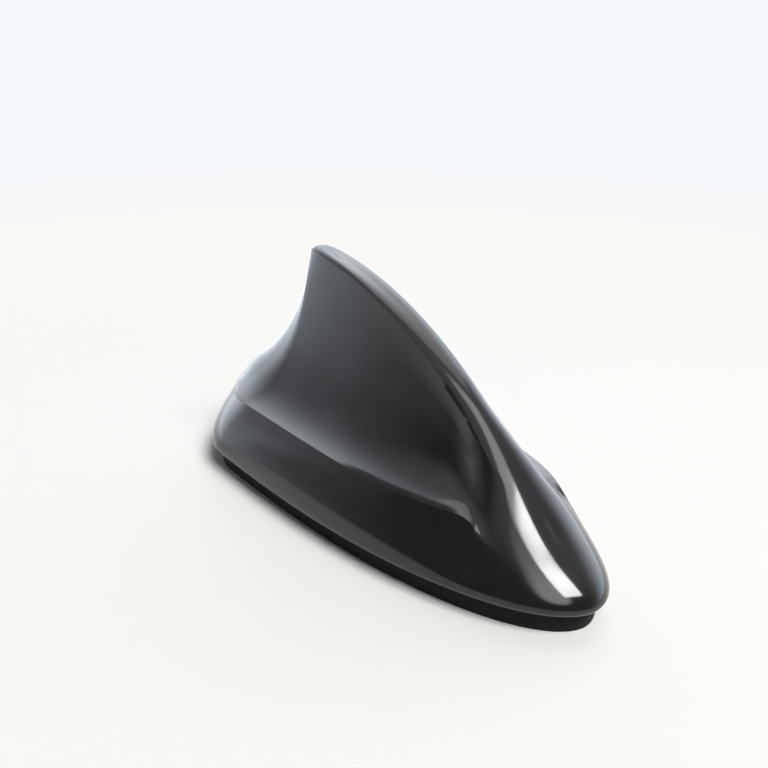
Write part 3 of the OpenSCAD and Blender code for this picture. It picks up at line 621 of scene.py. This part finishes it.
def along(tree, vector, way):
    made = tree.nodes.new("ShaderNodeVectorMath")
    made.operation = "DOT_PRODUCT"
    made.inputs[1].default_value = way
    tree.links.new(vector, made.inputs[0])
    return made.outputs["Value"]


def blended(tree, factor, first, second):
    """A colour between two, each a colour or a socket."""
    made = tree.nodes.new("ShaderNodeMix")
    made.data_type = "RGBA"
    tree.links.new(factor, made.inputs["Factor"])
    for name, value in (("A", first), ("B", second)):
        socket = next(i for i in made.inputs if i.name == name and i.type == "RGBA")
        if isinstance(value, tuple):
            socket.default_value = (*value, 1)
        else:
            tree.links.new(value, socket)
    return next(o for o in made.outputs if o.type == "RGBA")


def any_of(tree, *values):
    total = values[0]
    for value in values[1:]:
        made = tree.nodes.new("ShaderNodeMath")
        made.operation = "MAXIMUM"
        tree.links.new(total, made.inputs[0])
        tree.links.new(value, made.inputs[1])
        total = made.outputs[0]
    return total


def room(tree, way):
    """The room's colour in a direction: brightest behind the fin, dim beside the camera."""
    aside = along(tree, way, toward(135, -25))
    color = blended(tree, share(tree, aside, -0.5, 0.25), DIM_SIDE, PALE_SIDE)
    color = blended(tree, share(tree, aside, -0.05, 0.62), color, BRIGHT_SIDE)
    color = blended(tree, share(tree, along(tree, way, toward(0, 90)), 0.55, 0.95), color, CEILING)
    color = blended(tree, share(tree, along(tree, way, toward(-33, 41)), 0.93, 0.985), color, CURTAIN)
    return blended(tree, share(tree, along(tree, way, toward(2, 70)), 0.94, 0.985), color, WINDOW_GLOW)


def surround():
    """The room as mirrors see it, a plain white backdrop to the camera and an even soft light on the rest."""
    world = bpy.data.worlds.new("studio")
    world.use_nodes = True
    tree = world.node_tree
    rays = tree.nodes.new("ShaderNodeLightPath").outputs
    color = room(tree, tree.nodes.new("ShaderNodeTexCoord").outputs["Generated"])
    color = blended(tree, rays["Is Camera Ray"], color, BACKDROP)
    color = blended(tree, rays["Is Diffuse Ray"], color, FILL)
    tree.links.new(color, tree.nodes["Background"].inputs["Color"])
    bpy.context.scene.world = world


def floor():
    """A plain pale floor; far from the fin it is white to the camera, and as the room is to mirrors."""
    made, tree, shader = material("floor_pale", FLOOR, 0.7, Specular_IOR_Level=0.2)
    rays = tree.nodes.new("ShaderNodeLightPath").outputs
    place = tree.nodes.new("ShaderNodeNewGeometry").outputs["Position"]
    length = tree.nodes.new("ShaderNodeVectorMath")
    length.operation = "LENGTH"
    tree.links.new(place, length.inputs[0])
    way = tree.nodes.new("ShaderNodeVectorMath")
    way.operation = "NORMALIZE"
    tree.links.new(place, way.inputs[0])
    seen = any_of(tree, *[rays[name] for name in ("Is Camera Ray", "Is Glossy Ray", "Is Transmission Ray")])
    far = tree.nodes.new("ShaderNodeMath")
    far.operation = "MULTIPLY"
    tree.links.new(share(tree, length.outputs["Value"], *FLOOR_FADE), far.inputs[0])
    tree.links.new(seen, far.inputs[1])
    white = tree.nodes.new("ShaderNodeEmission")
    plain = blended(tree, share(tree, length.outputs["Value"], *WALL_FADE), FLOOR_FAR, BACKDROP)
    tree.links.new(blended(tree, rays["Is Camera Ray"], room(tree, way.outputs["Vector"]), plain),
                   white.inputs["Color"])
    mixed = tree.nodes.new("ShaderNodeMixShader")
    for i, value in enumerate((far.outputs[0], shader.outputs[0], white.outputs[0])):
        tree.links.new(value, mixed.inputs[i])
    tree.links.new(mixed.outputs[0], tree.nodes["Material Output"].inputs["Surface"])
    reach = 40
    mesh = bpy.data.meshes.new("floor")
    mesh.from_pydata([(-reach, -reach, 0), (reach, -reach, 0), (reach, reach, 0), (-reach, reach, 0)], [],
                     [(0, 1, 2, 3)])
    mesh.materials.append(made)
    piece = bpy.data.objects.new("floor", mesh)
    bpy.context.scene.collection.objects.link(piece)


# Colours of the floor, of the backdrop and of the room round it, and where the floor fades to its far colour
FLOOR, FLOOR_FAR, BACKDROP = (0.90, 0.89, 0.86), (0.945, 0.94, 0.905), (0.90, 0.925, 0.96)
DIM_SIDE, PALE_SIDE, BRIGHT_SIDE = (0.10, 0.085, 0.07), (0.58, 0.61, 0.66), (2.2, 2.4, 2.6)
CEILING, FILL = (0.66, 0.68, 0.70), (0.05, 0.05, 0.055)
CURTAIN, WINDOW_GLOW = (3.4, 3.5, 3.4), (4.0, 4.1, 4.0)
FLOOR_FADE, WALL_FADE = (0.08, 0.3), (0.3, 0.6)


# Distance of the lamps, which keeps their light even over the floor
LAMP_FAR = 5


def studio():
    """The floor and room, a soft window lamp high in front of the nose, and a dimmer curtain beside it."""
    floor()
    surround()
    nose = Vector((0.06, 0, 0.015))
    for name, azimuth, elevation, width, height, glow in (("window", 2, 54.9, 0.54, 0.34, 17.3),
                                                          ("side", 127, 50, 0.7, 0.8, 1.05)):
        wide, tall = LAMP_FAR * width, LAMP_FAR * height
        area(name, nose + toward(azimuth, elevation) * LAMP_FAR, nose, wide, tall, math.pi * wide * tall * glow)
    bpy.context.scene.view_settings.view_transform = "Standard"


camera()
dress_nodes()
fin_cover()
roof_gasket()
studio()
